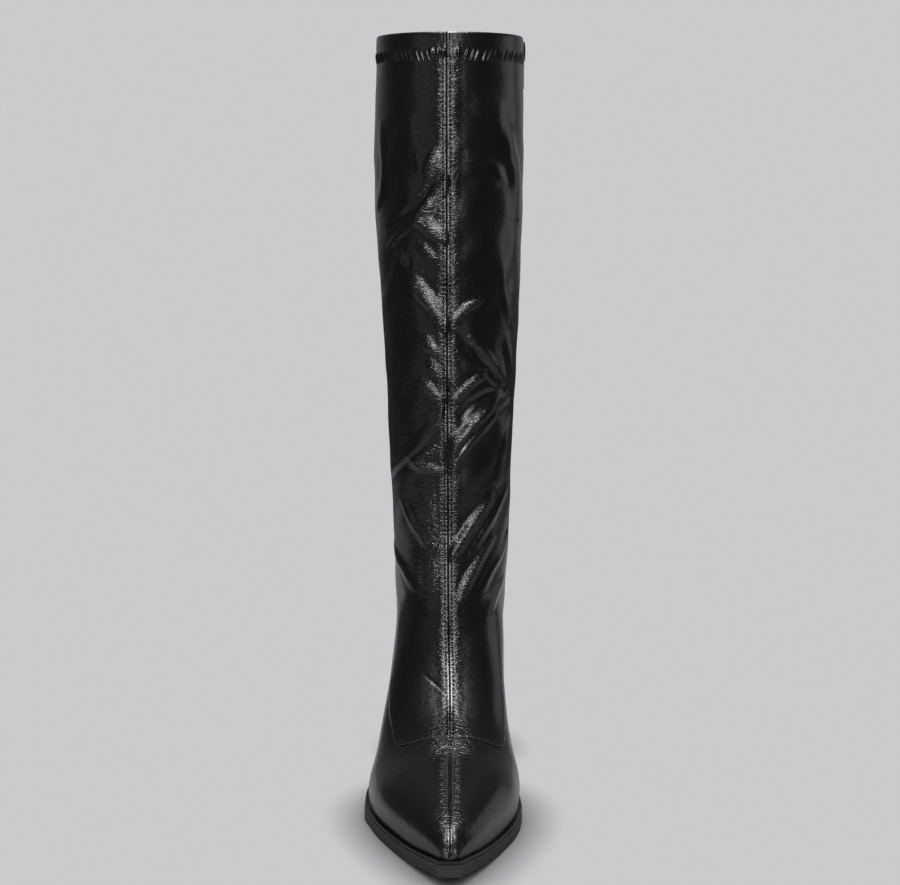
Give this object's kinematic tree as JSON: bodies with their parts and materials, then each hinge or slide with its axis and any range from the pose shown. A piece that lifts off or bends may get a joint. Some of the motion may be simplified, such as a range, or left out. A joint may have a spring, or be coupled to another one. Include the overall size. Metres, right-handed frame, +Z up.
{
  "type": "knee-high boot",
  "caption": "Knee-high right boot with a pointed, snipped toe, block heel, raised front seam, gathered collar band and a zip on the inner side.",
  "frame": {"origin": "middle of the heel's ground face", "axes": "+Z up, the toe points to -Y, +X is the inner (medial) side of the right foot"},
  "size_m": [0.0933, 0.2835, 0.44],
  "materials": {
    "leather": "polished black, creased",
    "sole": "matt",
    "welt": "glossy black",
    "heel": "satin black",
    "lining": "matt",
    "textile": "woven black",
    "metal": "black, semi-gloss"
  },
  "bodies": {
    "boot": {"outsole": "sole", "welt": "welt", "insole": "lining", "heel_block": "heel", "heel_lift": "sole", "upper": "leather", "collar_band": "leather", "zip_tape": "textile", "zip_teeth": "textile", "zip_slider": "metal"},
    "zip_pull": {"zip_pull": "metal"}
  },
  "joints": [
    {"name": "pull_flip", "type": "hinge", "parent": "boot", "child": "zip_pull", "pos_m": [0.0436, -0.0074, 0.4316], "axis": [0, -1, 0], "range_deg": [0, 170]}
  ]
}
